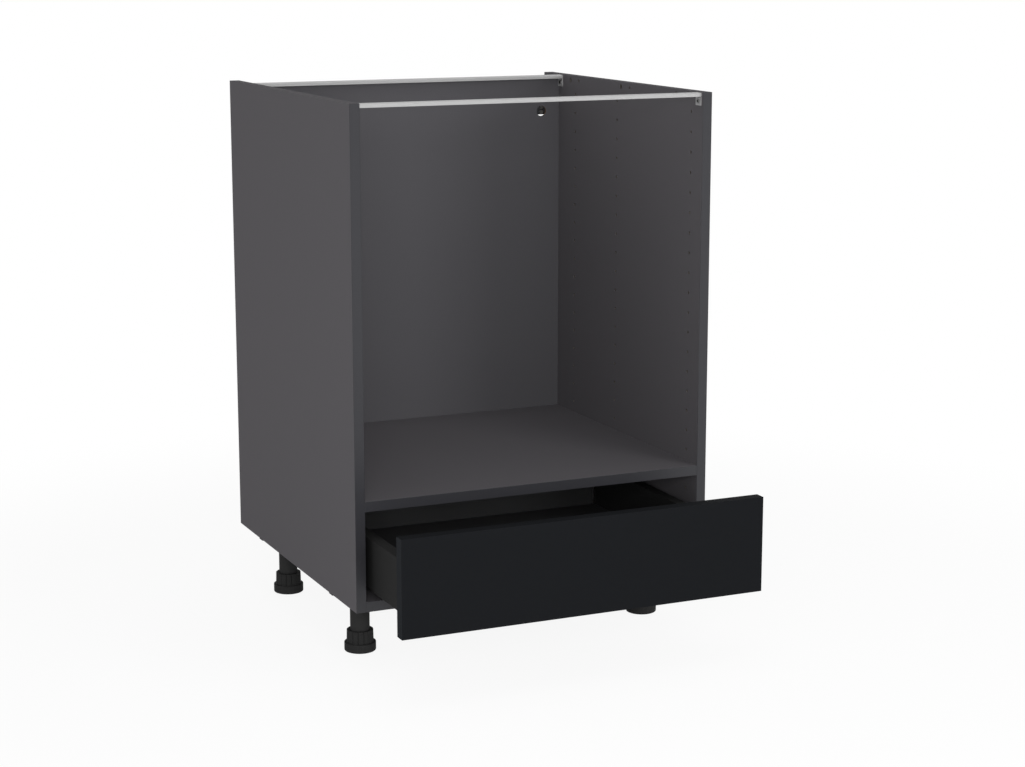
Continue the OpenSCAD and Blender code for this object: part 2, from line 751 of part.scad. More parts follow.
// Joins the drawer back to a drawer side, behind the back
module back_bracket() {
    u0 = inner_u;
    z1 = side_top_z - bead_h - 1;
    y0 = drawer_back_y + back_sheet_t;
    translate([inner_x, 0, 0]) mirror([1, 0, 0]) {
        block([u0, y0, floor_top_z], [u0 + back_bracket_t, box_l - bracket_short, z1]);
        block([u0, y0, floor_top_z], [u0 + back_bracket_leg, y0 + back_bracket_t, z1]);
    }
}
module left_back_bracket() color(bright_zinc) standing() drawn_out() on_side(-1) back_bracket();
module right_back_bracket() color(bright_zinc) standing() drawn_out() back_bracket();

module drawer_screws() color(bright_zinc) standing() drawn_out()
    for (s = [-1, 1]) on_side(s) {
        for (z = front_screw_zs)
            translate([inner_x - front_screw_u, bracket_plate_t, z]) rotate([90, 0, 0])
                screw(front_screw_d, front_screw_l, front_screw_head_d, front_screw_head_h);
        for (y = floor_screw_ys)
            translate([floor_screw_x, y, floor_z - side_t])
                screw(floor_screw_d, floor_screw_l, floor_screw_head_d, floor_screw_head_h);
    }

module drawer_bumpers() color(black_plastic) standing() drawn_out()
    for (s = [-1, 1], z = [front_z + bumper_inset, front_z + front_h - bumper_inset])
        bar_y([s * (carcass_w - board_t) / 2, 0, z], bumper_d, bumper_h);

// Runners

// A channel lying on its side: a web and two lips that reach to one side of it
module channel(u_web, u_tip, half_h) {
    u_a = min(u_web, u_tip);
    u_b = max(u_web, u_tip);
    web_a = u_tip > u_web ? u_web : u_web - runner_t;
    span([web_a, runner_mid_z - half_h], [web_a + runner_t, runner_mid_z + half_h]);
    for (z = [runner_mid_z - half_h, runner_mid_z + half_h - runner_t]) span([u_a, z], [u_b, z + runner_t]);
}

// A plate on the carcass side and a channel in the drawer side's hollow. The web
// that joins them starts behind the first screw, where the gap no longer shows it.
module cabinet_member() {
    difference() {
        union() {
            along_y(runner_setback, runner_setback + cabinet_member_l) from_side() {
                span([0, web_z], [runner_t, web_z + plate_h]);
                channel(channel_u, channel_u + lip_w, lip_z);
            }
            along_y(web_setback, runner_setback + cabinet_member_l) from_side() {
                span([0, web_z], [channel_u + runner_t, web_z + runner_t]);
                span([channel_u, web_z], [channel_u + runner_t, runner_mid_z]);
            }
        }
        for (y = columns)
            bar_x([inner_x - runner_t - 1, y, runner_row], pin_hole_d, runner_t + 2);
    }
}
module left_cabinet_member() color(bright_zinc) standing() on_side(-1) cabinet_member();
module right_cabinet_member() color(bright_zinc) standing() cabinet_member();

module middle_member()
    translate([0, -drawer_open / 2, 0])
        along_y(middle_setback, middle_setback + middle_member_l) from_side()
            channel(middle_u, middle_u + middle_w, middle_lip_z);
module left_middle_member() color(bright_zinc) standing() on_side(-1) middle_member();
module right_middle_member() color(bright_zinc) standing() middle_member();

module drawer_member()
    along_y(drawer_member_setback, drawer_member_setback + drawer_member_l) from_side()
        channel(drawer_web_u, drawer_web_u - drawer_lip_w, drawer_lip_z);
module left_drawer_member() color(bright_zinc) standing() drawn_out() on_side(-1) drawer_member();
module right_drawer_member() color(bright_zinc) standing() drawn_out() drawer_member();

// A strip with an arm above and below, and a row of balls in each arm
module ball_cage(web_u, ball_u, row_z) {
    ball_ys = [for (i = [0 : balls - 1]) cage_setback + ball_end + i * (cage_l - 2 * ball_end) / (balls - 1)];
    difference() {
        along_y(cage_setback, cage_setback + cage_l) from_side() {
            span([web_u, runner_mid_z - row_z], [web_u + cage_t, runner_mid_z + row_z]);
            for (z = [runner_mid_z - row_z, runner_mid_z + row_z])
                span([web_u, z - cage_arm_t / 2], [ball_u + ball_d * 0.75, z + cage_arm_t / 2]);
        }
        for (y = ball_ys, z = [runner_mid_z - row_z, runner_mid_z + row_z])
            translate([inner_x - ball_u, y, z]) sphere(d = ball_d + 2 * ball_pocket_gap);
    }
    for (y = ball_ys, z = [runner_mid_z - row_z, runner_mid_z + row_z])
        translate([inner_x - ball_u, y, z]) sphere(d = ball_d);
}
module outer_ball_cage()
    translate([0, -drawer_open / 4, 0])
        ball_cage(channel_u + runner_t + cage_gap, outer_ball_u, middle_lip_z + ball_space / 2);
module inner_ball_cage()
    translate([0, -drawer_open * 3 / 4, 0])
        ball_cage(middle_u + runner_t + 2 * cage_gap, inner_ball_u, drawer_lip_z + ball_space / 2);
module left_outer_ball_cage() color(bright_zinc) standing() on_side(-1) outer_ball_cage();
module right_outer_ball_cage() color(bright_zinc) standing() outer_ball_cage();
module left_inner_ball_cage() color(bright_zinc) standing() on_side(-1) inner_ball_cage();
module right_inner_ball_cage() color(bright_zinc) standing() inner_ball_cage();

module runner_screws() color(bright_zinc) standing()
    for (s = [-1, 1], y = columns)
        on_side(s) translate([inner_x - runner_t, y, runner_row]) rotate([0, 90, 0])
            screw(pin_hole_d - 2 * plug_gap, hole_depth, runner_screw_head_d, runner_screw_head_h);

left_side_panel();
right_side_panel();
bottom_panel();
oven_shelf();
back_panel();
left_side_edge_band();
right_side_edge_band();
bottom_edge_band();
shelf_edge_band();
front_rail();
back_rail();
rail_screws();
wooden_dowels();
cam_housings();
cam_bolts();
back_panel_screws();
front_left_leg_plate();
front_right_leg_plate();
rear_left_leg_plate();
rear_right_leg_plate();
front_left_leg_tube();
front_right_leg_tube();
rear_left_leg_tube();
rear_right_leg_tube();
front_left_foot();
front_right_foot();
rear_left_foot();
rear_right_foot();
leg_screws();
left_wall_bracket();
right_wall_bracket();
left_wall_hook();
right_wall_hook();
bracket_adjusting_screws();
drawer_front();
drawer_left_side();
drawer_right_side();
drawer_floor();
drawer_back();
left_front_bracket();
right_front_bracket();
left_back_bracket();
right_back_bracket();
drawer_screws();
drawer_bumpers();
left_cabinet_member();
right_cabinet_member();
left_middle_member();
right_middle_member();
left_drawer_member();
right_drawer_member();
left_outer_ball_cage();
right_outer_ball_cage();
left_inner_ball_cage();
right_inner_ball_cage();
runner_screws();
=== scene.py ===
"""Finishes, moulded feet and a studio for an oven base cabinet.

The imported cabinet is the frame: a dark melamine carcass on four screw feet, an open
oven niche under two galvanised rails, and one steel-sided drawer with a matt black
front. Every solid of the frame keeps its place and shape and gets the finish of the
real piece. The feet are modelled here, with the soft edges of a moulding.
"""

import math

import bmesh
import bpy
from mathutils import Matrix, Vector


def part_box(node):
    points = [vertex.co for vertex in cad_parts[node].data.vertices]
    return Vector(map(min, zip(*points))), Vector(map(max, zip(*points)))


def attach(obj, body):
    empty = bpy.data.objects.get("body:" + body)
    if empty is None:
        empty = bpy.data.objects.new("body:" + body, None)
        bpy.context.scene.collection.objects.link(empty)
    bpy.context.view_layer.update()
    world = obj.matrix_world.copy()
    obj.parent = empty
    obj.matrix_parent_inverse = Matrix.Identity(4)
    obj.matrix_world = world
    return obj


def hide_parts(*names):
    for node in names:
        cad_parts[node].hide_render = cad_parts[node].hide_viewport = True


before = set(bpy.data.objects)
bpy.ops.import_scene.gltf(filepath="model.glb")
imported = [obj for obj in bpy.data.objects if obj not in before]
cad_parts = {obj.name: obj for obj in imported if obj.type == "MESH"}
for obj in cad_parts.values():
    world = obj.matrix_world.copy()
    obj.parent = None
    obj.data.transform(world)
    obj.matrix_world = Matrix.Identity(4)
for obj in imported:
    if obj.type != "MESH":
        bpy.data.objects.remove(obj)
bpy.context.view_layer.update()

bl_info = {
    "name": "Oven base cabinet",
    "version": (1, 0, 0),
    "blender": (4, 5, 0),
    "location": "View3D > Sidebar > Cabinet",
    "description": "Finishes, moulded feet and a studio for an oven base cabinet",
    "category": "Object",
}

MM = 0.001
SIDES = ("left", "right")
CORNERS = ("front_left", "front_right", "rear_left", "rear_right")
SIDE_STEEL = ("drawer_left_side", "drawer_right_side")

# Sockets of a mix node: its factor, its two colours and their mix, and its two numbers
FACTOR = 0
COLOUR_A = 6
COLOUR_B = 7
MIXED = 2
NUMBER_A = 2
NUMBER_B = 3

# Refractive index of film, lacquer, ABS and wood, and of the moulded plastics
COATING_IOR = 1.5
PLASTIC_IOR = 1.49
# Specular level of a finish that hardly shines
FAINT_SHINE = 0.01
# Roughness of zinc plating varies by this much either way
PLATING_SPREAD = 0.06

# Depths of the textures: lines and mist, pearl and peel, the grain of moulded plastic
LINE_DEPTH = 0.03 * MM
GRAIN_DEPTH = 0.05 * MM
MOULD_DEPTH = 0.04 * MM

# Patterns are drawn out along the axis whose share is under 1
BAND_STRETCH = (1.0, 1.0, 0.02)
RAIL_STRETCH = (0.01, 1.0, 1.0)
STRIP_STRETCH = (1.0, 0.02, 1.0)
WOOD_STRETCH = (0.12, 1.0, 1.0)

# A face looks along an axis where its normal's share of that axis is above this
FACING = 0.7
# Corners of one solid's faces that lie closer than this are one corner
WELD_GAP = 0.002 * MM
# Edges that turn by more than this are rounded
BEVEL_ANGLE = math.radians(40)
# Edges of a foot that turn by more than this are shaded sharp
SHARP_ANGLE = math.radians(28)

# Flutes round a foot's grip, and the turn of the first one from the X axis
FLUTES = 14
POINTS_PER_FLUTE = 26
FIRST_FLUTE = math.radians(10.0)

# Height of a direction, as a share of its length, where the ceiling's light starts and is full
CEILING_STARTS = 0.2
CEILING_FULL = 0.8
# The lamps face this point
OBJECT_MIDDLE = (0.0, 0.0, 0.45)
# The floor lies this far under the feet
FLOOR_GAP = 0.1 * MM
# Width of the camera's sensor in millimetres
SENSOR_WIDTH = 36.0


def linear(hex_colour):
    """An sRGB hex colour as linear red, green and blue."""
    parts = [int(hex_colour[i : i + 2], 16) / 255 for i in (0, 2, 4)]
    return tuple(c / 12.92 if c <= 0.04045 else ((c + 0.055) / 1.055) ** 2.4 for c in parts)


def colour_property(label, hex_colour, description):
    """A colour that the user can change, given as sRGB hex."""
    return bpy.props.FloatVectorProperty(
        name=label,
        description=description,
        subtype="COLOR",
        size=3,
        min=0.0,
        max=1.0,
        default=linear(hex_colour),
    )


def length_property(label, millimetres, description):
    """A length that the user can change, given in millimetres."""
    return bpy.props.FloatProperty(
        name=label,
        description=description,
        subtype="DISTANCE",
        unit="LENGTH",
        min=0.0,
        precision=5,
        default=millimetres * MM,
    )


class CabinetColours(bpy.types.PropertyGroup):
    """Colours of the cabinet's finishes."""

    board: colour_property("Board", "59575a", "Melamine film on the carcass boards")
    band: colour_property("Edge band", "26262a", "ABS bands on the front edges")
    # Painted shade: a darker colour on the side panels' faces that look up, standing in for weaker light
    # from above
    painted_top_shade: colour_property("Edging", "4d4b4e", "Melamine edging on the top edges of the side panels")
    chip_light: colour_property("Light chips", "56524d", "Palest chips in a cut board")
    chip_dark: colour_property("Dark chips", "44413d", "Darkest chips in a cut board")
    back_face: colour_property("Back panel face", "525154", "Lacquer on the back panel's front")
    fibre: colour_property("Fibreboard", "5e4733", "Bare fibreboard behind and at cuts")
    front: colour_property("Drawer front", "18191b", "Lacquer on the drawer front")
    # Painted light: a paler colour on the drawer front's two narrow ends, standing in for stronger light
    # from the side
    painted_end_light: colour_property("Front ends", "212326", "Lacquered bands on the drawer front's two ends")
    drawer_steel: colour_property("Drawer sides", "2a2a2a", "Powder coat on the drawer's side panels")
    # Painted light: a paler copy of the sides' powder coat on the drawer's back, standing in for light
    # deep in the drawer
    drawer_back: colour_property("Drawer back", "3d3d3e", "Powder coat on the drawer's back")
    drawer_floor: colour_property("Drawer floor", "3e3e3f", "Melamine film on the drawer floor")
    galvanised: colour_property("Galvanised steel", "aeaeae", "Zinc on the rails")
    plated: colour_property("Zinc plating", "b4b5b3", "Bright zinc on runners and brackets")
    cast: colour_property("Cast zinc", "a3a3a1", "Tumbled zinc of the cams and front brackets")
    rail_screw: colour_property("Zinc", "a8a8a8", "Plating on the rail screws")
    recess: colour_property("Recess", "0c0c0c", "Shaded mouth of a screw's drive recess")
    beech_light: colour_property("Light beech", "c9a376", "Early wood of the dowels")
    beech_dark: colour_property("Dark beech", "a87d50", "Late wood of the dowels")
    leg: colour_property("Leg plastic", "313131", "Polypropylene of the leg plates and tubes")
    foot: colour_property("Foot plastic", "2d2d2d", "Polypropylene of the feet")
    bracket: colour_property("Bracket plastic", "333436", "Nylon of the wall brackets")
    bumper: colour_property("Bumper", "222222", "Soft bumpers behind the drawer front")


class CabinetSizes(bpy.types.PropertyGroup):
    """Sizes of the surface detail and of the moulded feet."""

    film: length_property("Film", 0.3, "Thickness of the melamine film at a cut")
    pearl: length_property("Pearl", 1.6, "Spacing of the melamine's pearl texture")
    chip: length_property("Chip", 2.2, "Size of a wood chip at a cut")
    coat_grain: length_property("Coat grain", 1.1, "Spacing of the powder coat's orange peel")
    moulded_grain: length_property("Moulded grain", 0.9, "Spacing of the spark-eroded grain on plastic")
    spangle: length_property("Spangle", 9.0, "Size of a zinc crystal on galvanised sheet")
    roll_line: length_property("Roll line", 1.2, "Spacing of the lines left by rolling")
    band_line: length_property("Band line", 1.5, "Spacing of the lines left by scraping a band flush")
    fibre: length_property("Fibre", 3.0, "Size of a tuft of fibres in bare hardboard")
    mist: length_property("Mist", 1.0, "Spacing of the mottle in the sprayed lacquer")
    cast_skin: length_property("Cast skin", 1.5, "Spacing of the mottle on tumbled zinc")
    beech_grain: length_property("Beech grain", 0.8, "Spacing of the flecks in the dowels")
    recess: length_property("Recess", 4.0, "Diameter of the drive recess in a rail screw's head")
    board_edge: length_property("Board edge", 0.35, "Rounding of the boards' edges")
    band_edge: length_property("Band edge", 0.5, "Rounding of the edge bands")
    front_edge: length_property("Front edge", 0.9, "Rounding of the drawer front's edges")
    foot_edge: length_property("Foot edge", 0.8, "Rounding of a foot's edges")
    foot_underside: length_property("Foot underside", 2.2, "Rounding of a foot's lowest edge")
    foot_clearance: length_property("Foot clearance", 0.3, "Gap between a foot's bore and its tube")
    foot_base: length_property("Foot base", 14.4, "Height of a foot's base")
    grip_low: length_property("Grip, lower end", 42.8, "Diameter of a foot's grip at its base")
    grip_top: length_property("Grip, upper end", 41.9, "Diameter of a foot's grip at its rim")
    flute_depth: length_property("Flute depth", 1.3, "Depth of the flutes in a foot's grip")
    flute_width: length_property("Flute width", 2.6, "Width of the flutes in a foot's grip")


class CabinetStudio(bpy.types.PropertyGroup):
    """Camera, lamps and floor."""

    lens: bpy.props.FloatProperty(
        name="Lens", description="Focal length on a 36 mm sensor", default=77.434, unit="CAMERA"
    )
    camera_place: bpy.props.FloatVectorProperty(
        name="Camera place",
        description="Where the camera stands",
        subtype="TRANSLATION",
        unit="LENGTH",
        default=(-1.4055, -3.2130, 1.1042),
    )
    camera_yaw: bpy.props.FloatProperty(
        name="Camera yaw",
        description="Turn of the camera from straight ahead towards the right",
        subtype="ANGLE",
        default=math.radians(24.351),
    )
    camera_pitch: bpy.props.FloatProperty(
        name="Camera pitch",
        description="How far the camera looks down",
        subtype="ANGLE",
        default=math.radians(11.447),
    )
    ambient: bpy.props.FloatProperty(
        name="Ambient", description="Light from the sides, where 1 is white", default=0.95, min=0.0
    )
    ceiling: bpy.props.FloatProperty(
        name="Ceiling", description="Light from straight above, where 1 is white", default=0.3, min=0.0
    )
    key: bpy.props.FloatProperty(
        name="Key", description="Radiance of the lamp at the front left", default=15.4, min=0.0
    )
    fill: bpy.props.FloatProperty(
        name="Fill", description="Radiance of the lamp at the front right", default=9.1, min=0.0
    )
    top: bpy.props.FloatProperty(
        name="Top", description="Radiance of the lamp overhead", default=1.2, min=0.0
    )
    floor_size: length_property("Floor size", 40000.0, "Width of the floor")
    floor: colour_property("Floor", "fdfdfd", "Pale studio floor")
    shadow: bpy.props.FloatProperty(
        name="Shadow",
        description="How much of its shadow the floor shows",
        default=0.1,
        min=0.0,
        max=1.0,
    )
    shadow_reach: length_property("Shadow reach", 1600.0, "Distance at which the shadow has faded out")


def colours():
    return bpy.context.scene.cabinet_colours


def sizes():
    return bpy.context.scene.cabinet_sizes


def studio():
    return bpy.context.scene.cabinet_studio


def rgba(colour, brightness=1.0):
    """A colour with full alpha, lighter or darker by a factor."""
    return (*(min(1.0, c * brightness) for c in colour), 1.0)


def add(tree, kind, inputs=None, **settings):
    """A node of that kind, with its settings. Each input is a value or another node's output."""
    node = tree.nodes.new(kind)
    for key, value in settings.items():
        setattr(node, key, value)
    for key, value in (inputs or {}).items():
        if isinstance(value, bpy.types.NodeSocket):
            tree.links.new(value, node.inputs[key])
        else:
            node.inputs[key].default_value = value
    return node


def new_material(name):
    """An empty material with its shader, and the place and normal of each point."""
    material = bpy.data.materials.new(name)
    material.use_nodes = True
    tree = material.node_tree
    tree.nodes.clear()
    shader = add(tree, "ShaderNodeBsdfPrincipled")
    add(tree, "ShaderNodeOutputMaterial", {"Surface": shader.outputs[0]})
    place = add(tree, "ShaderNodeTexCoord")
    return material, tree, shader, place


def finish_shader(tree, shader, inputs):
    """Sets the shader's sockets, or links them where a pattern drives them."""
    for key, value in inputs.items():
        if isinstance(value, bpy.types.NodeSocket):
            tree.links.new(value, shader.inputs[key])
        else:
            shader.inputs[key].default_value = value


def cut_mask(tree, place, box, film):
    """1 where a point lies deeper in the board than its film, as in a hole or groove, else 0."""
    low, high = box
    here = place.outputs["Object"]
    above = add(tree, "ShaderNodeVectorMath", {0: here, 1: low}, operation="SUBTRACT")
    below = add(tree, "ShaderNodeVectorMath", {0: high, 1: here}, operation="SUBTRACT")
    nearest = add(
        tree, "ShaderNodeVectorMath", {0: above.outputs[0], 1: below.outputs[0]}, operation="MINIMUM"
    )
    x, y, z = add(tree, "ShaderNodeSeparateXYZ", {0: nearest.outputs[0]}).outputs
    across = add(tree, "ShaderNodeMath", {0: x, 1: y}, operation="MINIMUM")
    depth = add(tree, "ShaderNodeMath", {0: across.outputs[0], 1: z}, operation="MINIMUM")
    cut = add(tree, "ShaderNodeMath", {0: depth.outputs[0], 1: film}, operation="GREATER_THAN")
    return cut.outputs[0]


def chipboard(tree, place):
    """Pressed wood chips of mixed brown, as a drill leaves them."""
    chips = add(
        tree,
        "ShaderNodeTexVoronoi",
        {"Vector": place.outputs["Object"], "Scale": 1 / sizes().chip, "Randomness": 1.0},
    )
    shade = add(tree, "ShaderNodeSeparateColor", {0: chips.outputs["Color"]})
    return add(
        tree,
        "ShaderNodeMix",
        {
            FACTOR: shade.outputs[0],
            COLOUR_A: rgba(colours().chip_dark),
            COLOUR_B: rgba(colours().chip_light),
        },
        data_type="RGBA",
    ).outputs[MIXED]


def melamine_board(name, colour, shaded_top_colour, box):
    """Melamine-faced chipboard, pressed against a finely textured plate.

    The film is dark and dull, and its shallow pearl softens the little that it reflects.
    The pearl of the real film is about 0.5 mm, and is drawn coarser so that it shows.
    Faces that look up take the top colour, which on a side panel is painted shade: darker, for the weaker
    light from above.
    """
    material, tree, shader, place = new_material(name)
    facing = add(tree, "ShaderNodeSeparateXYZ", {0: place.outputs["Normal"]})
    top = add(tree, "ShaderNodeMath", {0: facing.outputs["Z"], 1: FACING}, operation="GREATER_THAN")
    # Painted shade: on a side panel, faces that look up take the darker top colour
    paper_with_top_shade = add(
        tree,
        "ShaderNodeMix",
        {FACTOR: top.outputs[0], COLOUR_A: rgba(colour), COLOUR_B: rgba(shaded_top_colour)},
        data_type="RGBA",
    )
    pearl = add(
        tree,
        "ShaderNodeTexNoise",
        {
            "Vector": place.outputs["Object"],
            "Scale": 1 / sizes().pearl,
            "Detail": 2.0,
            "Roughness": 0.6,
        },
    )
    mottle = add(
        tree,
        "ShaderNodeMix",
        {
            FACTOR: pearl.outputs[0],
            COLOUR_A: (0.94, 0.94, 0.94, 1.0),
            COLOUR_B: (1.06, 1.06, 1.06, 1.0),
        },
        data_type="RGBA",
    )
    film = add(
        tree,
        "ShaderNodeMix",
        {FACTOR: 1.0, COLOUR_A: paper_with_top_shade.outputs[MIXED], COLOUR_B: mottle.outputs[MIXED]},
        data_type="RGBA",
        blend_type="MULTIPLY",
    )
    cut = cut_mask(tree, place, box, sizes().film)
    surface = add(
        tree,
        "ShaderNodeMix",
        {FACTOR: cut, COLOUR_A: film.outputs[MIXED], COLOUR_B: chipboard(tree, place)},
        data_type="RGBA",
    )
    dull = add(tree, "ShaderNodeMapRange", {"Value": pearl.outputs[0], "To Min": 0.55, "To Max": 0.65})
    rough = add(
        tree,
        "ShaderNodeMix",
        {FACTOR: cut, NUMBER_A: dull.outputs[0], NUMBER_B: 0.9},
        data_type="FLOAT",
    )
    bump = add(
        tree, "ShaderNodeBump", {"Height": pearl.outputs[0], "Strength": 0.12, "Distance": GRAIN_DEPTH}
    )
    finish_shader(
        tree,
        shader,
        {
            "Base Color": surface.outputs[MIXED],
            "Roughness": rough.outputs[0],
            "Normal": bump.outputs[0],
            "IOR": COATING_IOR,
            "Specular IOR Level": FAINT_SHINE,
        },
    )
    return material


def abs_edge_band(name):
    """ABS edge band, extruded and scraped flush: satin, with faint lines along its length."""
    material, tree, shader, place = new_material(name)
    along = add(
        tree,
        "ShaderNodeVectorMath",
        {0: place.outputs["Object"], 1: BAND_STRETCH},
        operation="MULTIPLY",
    )
    lines = add(
        tree,
        "ShaderNodeTexNoise",
        {"Vector": along.outputs[0], "Scale": 1 / sizes().band_line, "Detail": 1.0},
    )
    tone = add(
        tree,
        "ShaderNodeMix",
        {
            FACTOR: lines.outputs[0],
            COLOUR_A: rgba(colours().band, 0.96),
            COLOUR_B: rgba(colours().band, 1.04),
        },
        data_type="RGBA",
    )
    bump = add(
        tree, "ShaderNodeBump", {"Height": lines.outputs[0], "Strength": 0.08, "Distance": LINE_DEPTH}
    )
    finish_shader(
        tree,
        shader,
        {
            "Base Color": tone.outputs[MIXED],
            "Roughness": 0.45,
            "Normal": bump.outputs[0],
            "IOR": COATING_IOR,
        },
    )
    return material


def hardboard_back(name, box):
    """Thin hardboard, lacquered on its face and bare behind and at its cuts.

    The face is as dark and dull as the boards. The bare side is brown, matt and
    faintly fibrous.
    """
    material, tree, shader, place = new_material(name)
    fibres = add(
        tree,
        "ShaderNodeTexNoise",
        {
            "Vector": place.outputs["Object"],
            "Scale": 1 / sizes().fibre,
            "Detail": 4.0,
            "Distortion": 1.5,
        },
    )
    bare = add(
        tree,
        "ShaderNodeMix",
        {
            FACTOR: fibres.outputs[0],
            COLOUR_A: rgba(colours().fibre, 0.75),
            COLOUR_B: rgba(colours().fibre, 1.25),
        },
        data_type="RGBA",
    )
    pearl = add(
        tree,
        "ShaderNodeTexNoise",
        {
            "Vector": place.outputs["Object"],
            "Scale": 1 / sizes().pearl,
            "Detail": 2.0,
            "Roughness": 0.6,
        },
    )
    lacquer = add(
        tree,
        "ShaderNodeMix",
        {
            FACTOR: pearl.outputs[0],
            COLOUR_A: rgba(colours().back_face, 0.94),
            COLOUR_B: rgba(colours().back_face, 1.06),
        },
        data_type="RGBA",
    )
    here = add(tree, "ShaderNodeSeparateXYZ", {0: place.outputs["Object"]})
    under_film = box[0].y + sizes().film
    behind = add(
        tree, "ShaderNodeMath", {0: here.outputs["Y"], 1: under_film}, operation="GREATER_THAN"
    )
    surface = add(
        tree,
        "ShaderNodeMix",
        {
            FACTOR: behind.outputs[0],
            COLOUR_A: lacquer.outputs[MIXED],
            COLOUR_B: bare.outputs[MIXED],
        },
        data_type="RGBA",
    )
    rough = add(
        tree,
        "ShaderNodeMix",
        {FACTOR: behind.outputs[0], NUMBER_A: 0.6, NUMBER_B: 0.8},
        data_type="FLOAT",
    )
    bump = add(
        tree, "ShaderNodeBump", {"Height": pearl.outputs[0], "Strength": 0.12, "Distance": GRAIN_DEPTH}
    )
    finish_shader(
        tree,
        shader,
        {
            "Base Color": surface.outputs[MIXED],
            "Roughness": rough.outputs[0],
            "Normal": bump.outputs[0],
            "IOR": COATING_IOR,
            "Specular IOR Level": FAINT_SHINE,
        },
    )
    return material


def matt_lacquer(name, box):
    """Super-matt lacquered board, sprayed and brushed dull: near black and almost without shine.

    Its two narrow ends take a paler colour: painted light, for the stronger light from the side.
    """
    material, tree, shader, place = new_material(name)
    mist = add(
        tree,
        "ShaderNodeTexNoise",
        {"Vector": place.outputs["Object"], "Scale": 1 / sizes().mist, "Detail": 1.0},
    )
    tone = add(
        tree,
        "ShaderNodeMix",
        {
            FACTOR: mist.outputs[0],
            COLOUR_A: rgba(colours().front, 0.96),
            COLOUR_B: rgba(colours().front, 1.04),
        },
        data_type="RGBA",
    )
    # Painted light: faces that look sideways, the front's two narrow ends, take a paler colour
    facing = add(tree, "ShaderNodeSeparateXYZ", {0: place.outputs["Normal"]})
    sideways = add(tree, "ShaderNodeMath", {0: facing.outputs["X"]}, operation="ABSOLUTE")
    end = add(tree, "ShaderNodeMath", {0: sideways.outputs[0], 1: FACING}, operation="GREATER_THAN")
    lacquer = add(
        tree,
        "ShaderNodeMix",
        {
            FACTOR: end.outputs[0],
            COLOUR_A: tone.outputs[MIXED],
            COLOUR_B: rgba(colours().painted_end_light),
        },
        data_type="RGBA",
    )
    cut = cut_mask(tree, place, box, sizes().film)
    surface = add(
        tree,
        "ShaderNodeMix",
        {FACTOR: cut, COLOUR_A: lacquer.outputs[MIXED], COLOUR_B: chipboard(tree, place)},
        data_type="RGBA",
    )
    bump = add(
        tree, "ShaderNodeBump", {"Height": mist.outputs[0], "Strength": 0.06, "Distance": LINE_DEPTH}
    )
    finish_shader(
        tree,
        shader,
        {
            "Base Color": surface.outputs[MIXED],
            "Roughness": 0.6,
            "Normal": bump.outputs[0],
            "IOR": COATING_IOR,
            "Specular IOR Level": FAINT_SHINE,
        },
    )
    return material


def powder_coated_steel(name, colour):
    """Sheet steel with a baked powder coat: dark and nearly matt, with a fine orange peel."""
    material, tree, shader, place = new_material(name)
    peel = add(
        tree,
        "ShaderNodeTexNoise",
        {"Vector": place.outputs["Object"], "Scale": 1 / sizes().coat_grain, "Detail": 1.0},
    )
    tone = add(
        tree,
        "ShaderNodeMix",
        {FACTOR: peel.outputs[0], COLOUR_A: rgba(colour, 0.92), COLOUR_B: rgba(colour, 1.08)},
        data_type="RGBA",
    )
    dull = add(tree, "ShaderNodeMapRange", {"Value": peel.outputs[0], "To Min": 0.45, "To Max": 0.55})
    bump = add(
        tree, "ShaderNodeBump", {"Height": peel.outputs[0], "Strength": 0.15, "Distance": GRAIN_DEPTH}
    )
    finish_shader(
        tree,
        shader,
        {
            "Base Color": tone.outputs[MIXED],
            "Roughness": dull.outputs[0],
            "Normal": bump.outputs[0],
            "IOR": COATING_IOR,
            "Specular IOR Level": FAINT_SHINE,
        },
    )
    return material


def galvanised_sheet(name):
    """Hot-dip galvanised strip, passivated and roll formed: pale, dull and softly shining.

    The passivated zinc scatters most of the light, so it counts as metal only in part.
    Faint crystals change the shine from one to the next, and the rolls leave lines
    along the strip.
    """
    material, tree, shader, place = new_material(name)
    crystals = add(
        tree,
        "ShaderNodeTexVoronoi",
        {"Vector": place.outputs["Object"], "Scale": 1 / sizes().spangle, "Randomness": 1.0},
    )
    facet = add(tree, "ShaderNodeSeparateColor", {0: crystals.outputs["Color"]})
    along = add(
        tree,
        "ShaderNodeVectorMath",
        {0: place.outputs["Object"], 1: RAIL_STRETCH},
        operation="MULTIPLY",
    )
    lines = add(
        tree,
        "ShaderNodeTexNoise",
        {"Vector": along.outputs[0], "Scale": 1 / sizes().roll_line, "Detail": 3.0},
    )
    tone = add(
        tree,
        "ShaderNodeMix",
        {
            FACTOR: facet.outputs[0],
            COLOUR_A: rgba(colours().galvanised, 0.97),
            COLOUR_B: rgba(colours().galvanised, 1.03),
        },
        data_type="RGBA",
    )
    streak = add(
        tree,
        "ShaderNodeMix",
        {
            FACTOR: lines.outputs[0],
            COLOUR_A: (0.96, 0.96, 0.96, 1.0),
            COLOUR_B: (1.0, 1.0, 1.0, 1.0),
        },
        data_type="RGBA",
    )
    surface = add(
        tree,
        "ShaderNodeMix",
        {FACTOR: 1.0, COLOUR_A: tone.outputs[MIXED], COLOUR_B: streak.outputs[MIXED]},
        data_type="RGBA",
        blend_type="MULTIPLY",
    )
    shine = add(tree, "ShaderNodeMapRange", {"Value": facet.outputs[0], "To Min": 0.5, "To Max": 0.62})
    bump = add(
        tree, "ShaderNodeBump", {"Height": lines.outputs[0], "Strength": 0.06, "Distance": LINE_DEPTH}
    )
    finish_shader(
        tree,
        shader,
        {
            "Base Color": surface.outputs[MIXED],
            "Metallic": 0.4,
            "Roughness": shine.outputs[0],
            "Normal": bump.outputs[0],
        },
    )
    return material


